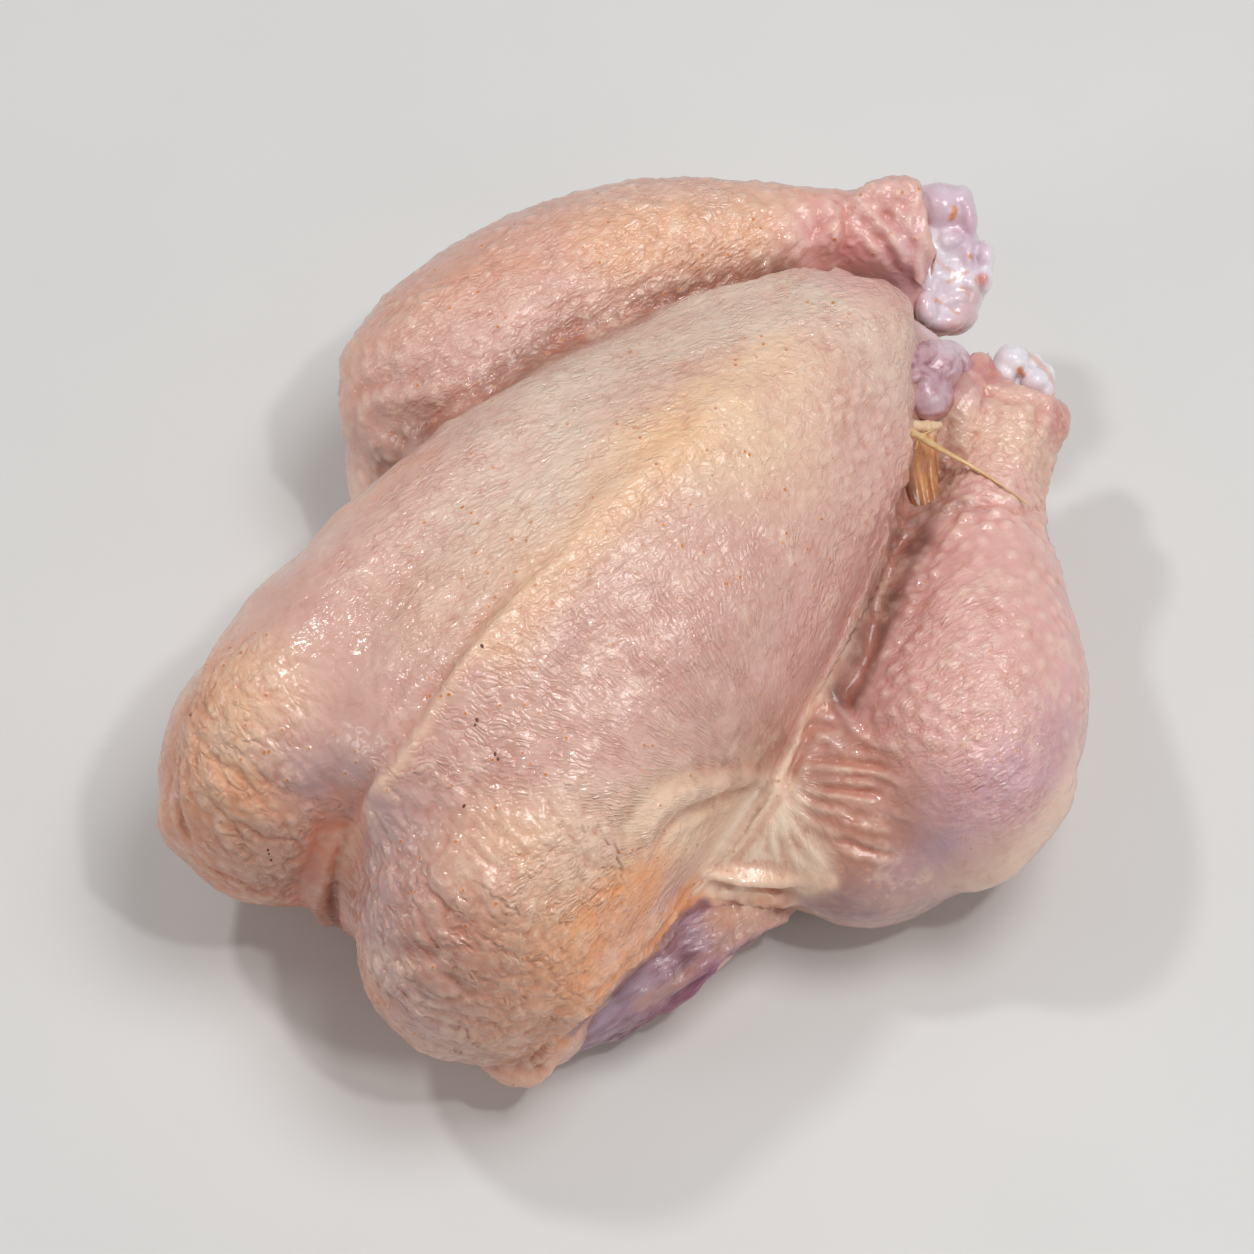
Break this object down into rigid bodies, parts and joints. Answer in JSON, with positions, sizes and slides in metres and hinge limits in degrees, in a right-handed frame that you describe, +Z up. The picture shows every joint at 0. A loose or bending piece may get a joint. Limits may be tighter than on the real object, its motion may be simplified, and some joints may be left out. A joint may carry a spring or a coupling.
{
  "type": "whole raw chicken",
  "caption": "Oven-ready raw chicken lying on its back, with plump breast, both drumsticks folded up beside it, bare hock joints and an open vent at the tail.",
  "frame": {"origin": "on the table under the middle of the bird's box", "axes": "+X from the neck to the tail along the keel, +Y to the bird's left side as it lies on its back with the tail ahead, +Z up through the breast"},
  "size_m": [0.2402, 0.2014, 0.1044],
  "materials": {
    "raw_skin": "moist satin, pale pink-beige with cream fat and rose legs"
  },
  "bodies": {
    "root": {"whole_chicken": "raw_skin"}
  },
  "joints": []
}
